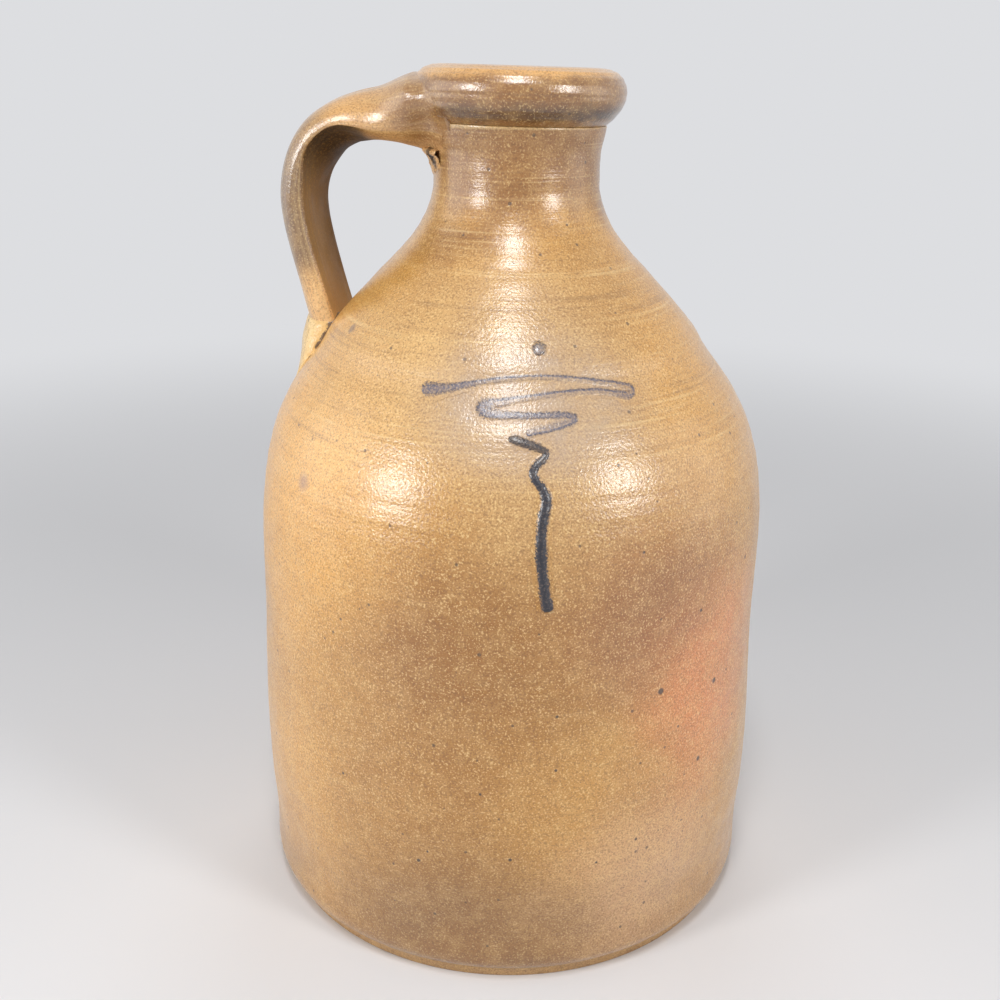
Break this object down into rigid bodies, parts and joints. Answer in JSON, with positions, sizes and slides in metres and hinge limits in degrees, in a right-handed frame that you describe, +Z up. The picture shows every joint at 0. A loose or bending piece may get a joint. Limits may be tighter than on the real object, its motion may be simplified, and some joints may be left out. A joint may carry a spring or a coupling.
{
  "type": "stoneware jug",
  "caption": "Salt-glazed stoneware jug with a straight wall, domed shoulder, narrow collared mouth, strap handle and a trailed blue flourish.",
  "frame": {"origin": "centre of the flat bottom, on the surface that the jug stands on", "axes": "+Z up along the jug's axis, out of the mouth; the handle points along -X; -Y is the side nearest the slip flourish"},
  "size_m": [0.1754, 0.1754, 0.28],
  "materials": {
    "stoneware_body": "salt glaze, orange-peel grain, satin to glossy",
    "stoneware_collar": "salt glaze, glossy",
    "stoneware_handle": "salt glaze, glossy, greyer on the outer face",
    "joint_clay": "salt glaze, satin",
    "cobalt_slip_thin": "thin worn slip under salt glaze",
    "cobalt_slip_thick": "thick slip, glossy"
  },
  "bodies": {
    "root": {"thrown_body": "stoneware_body", "lip_collar": "stoneware_collar", "strap_handle": "stoneware_handle", "upper_joint_clay": "joint_clay", "lower_joint_clay": "joint_clay", "slip_dot": "cobalt_slip_thin", "slip_zigzag": "cobalt_slip_thin", "slip_tail": "cobalt_slip_thick"}
  },
  "joints": []
}
